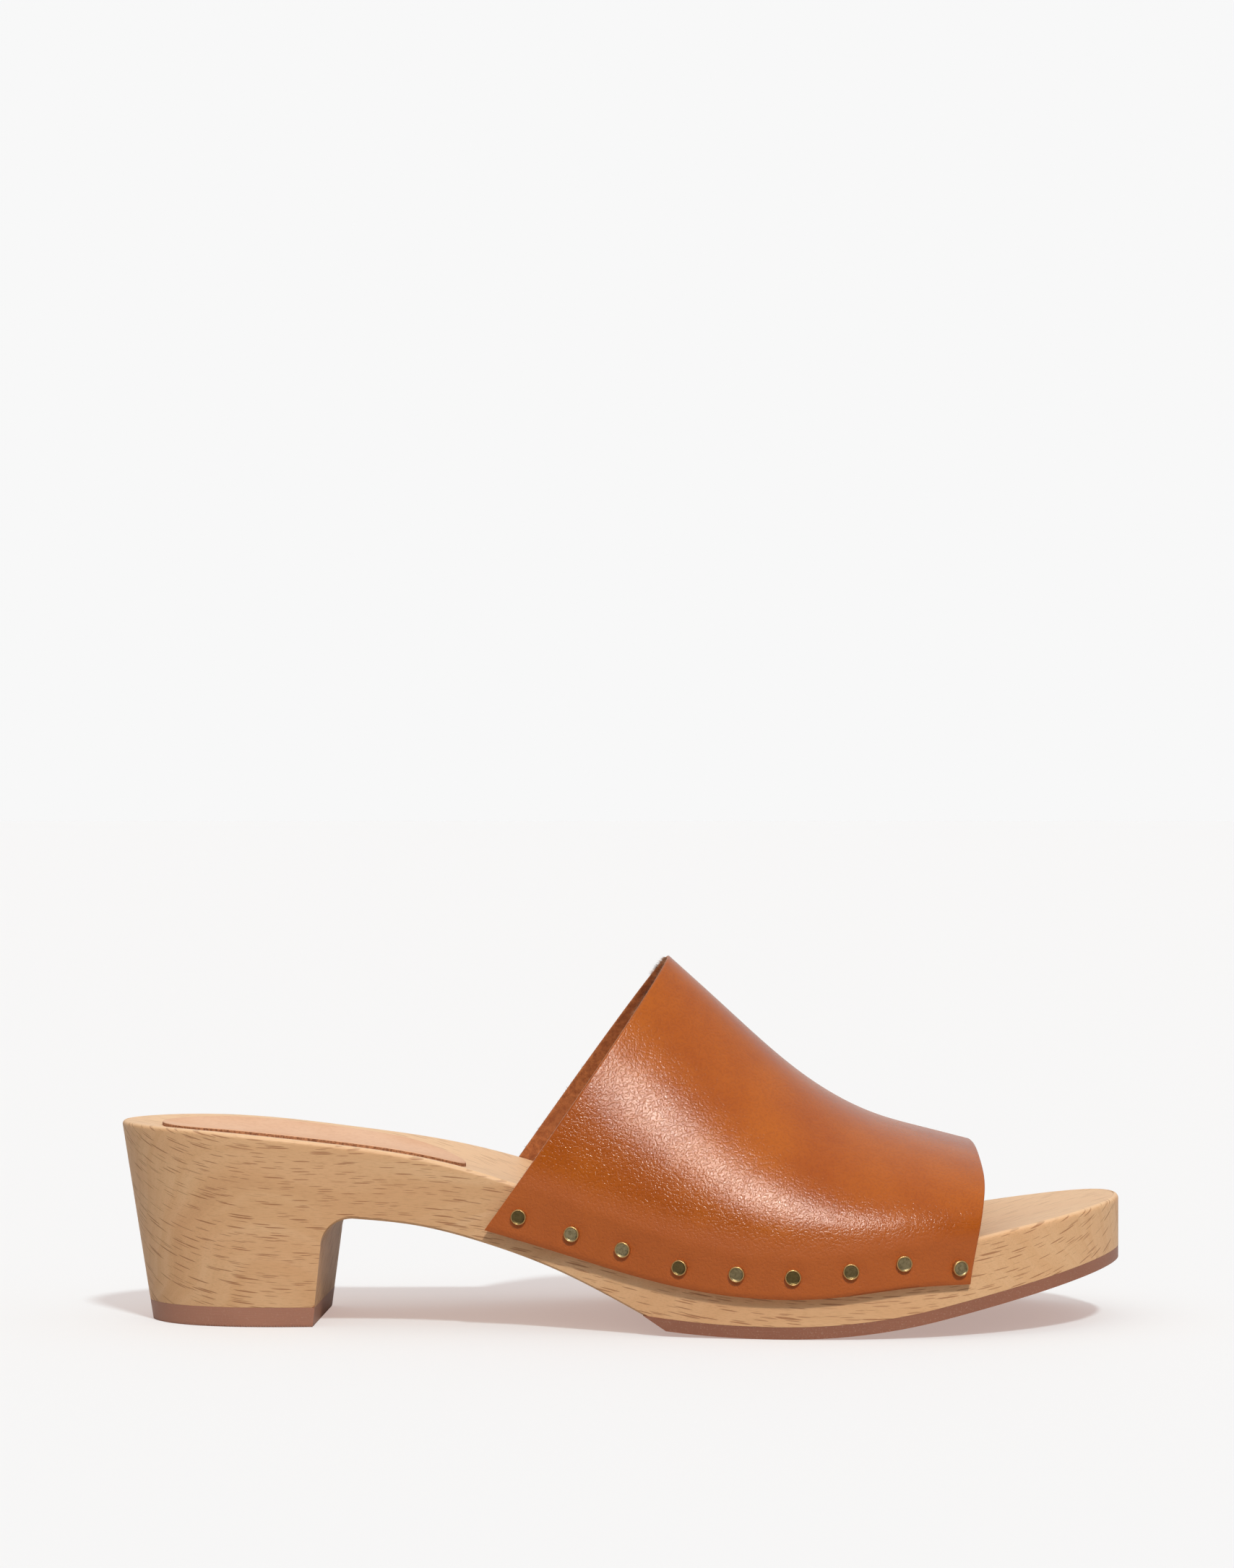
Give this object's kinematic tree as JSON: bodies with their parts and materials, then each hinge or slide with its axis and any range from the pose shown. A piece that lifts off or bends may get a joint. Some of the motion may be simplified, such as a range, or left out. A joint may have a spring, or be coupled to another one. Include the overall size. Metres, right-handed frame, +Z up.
{
  "type": "wooden clog",
  "caption": "Open-toe mule clog with a carved beech sole and block heel, a broad leather band tacked along both sides, a heel pad, and rubber treads.",
  "frame": {"origin": "on the floor under the middle of the clog's bounding box", "axes": "+X from heel to toe, +Y towards the inner (medial) side, +Z up; a right-foot clog"},
  "size_m": [0.2458, 0.0982, 0.0887],
  "materials": {
    "beech": "clear matt lacquer",
    "upper_leather": "polished full grain, tan",
    "pad_leather": "natural vegetable tanned, matt",
    "gum_rubber": "satin",
    "antique_brass": "aged, bright rim",
    "nail_steel": "bright wire"
  },
  "bodies": {
    "root": {"wooden_sole": "beech", "leather_upper": "upper_leather", "heel_pad": "pad_leather", "heel_lift": "gum_rubber", "forefoot_outsole": "gum_rubber", "tack_outer_1": "antique_brass", "tack_outer_2": "antique_brass", "tack_outer_3": "antique_brass", "tack_outer_4": "antique_brass", "tack_outer_5": "antique_brass", "tack_outer_6": "antique_brass", "tack_outer_7": "antique_brass", "tack_outer_8": "antique_brass", "tack_outer_9": "antique_brass", "tack_inner_1": "antique_brass", "tack_inner_2": "antique_brass", "tack_inner_3": "antique_brass", "tack_inner_4": "antique_brass", "tack_inner_5": "antique_brass", "tack_inner_6": "antique_brass", "tack_inner_7": "antique_brass", "tack_inner_8": "antique_brass", "tack_inner_9": "antique_brass", "lift_nail_1": "nail_steel", "lift_nail_2": "nail_steel", "lift_nail_3": "nail_steel", "lift_nail_4": "nail_steel"}
  },
  "joints": []
}
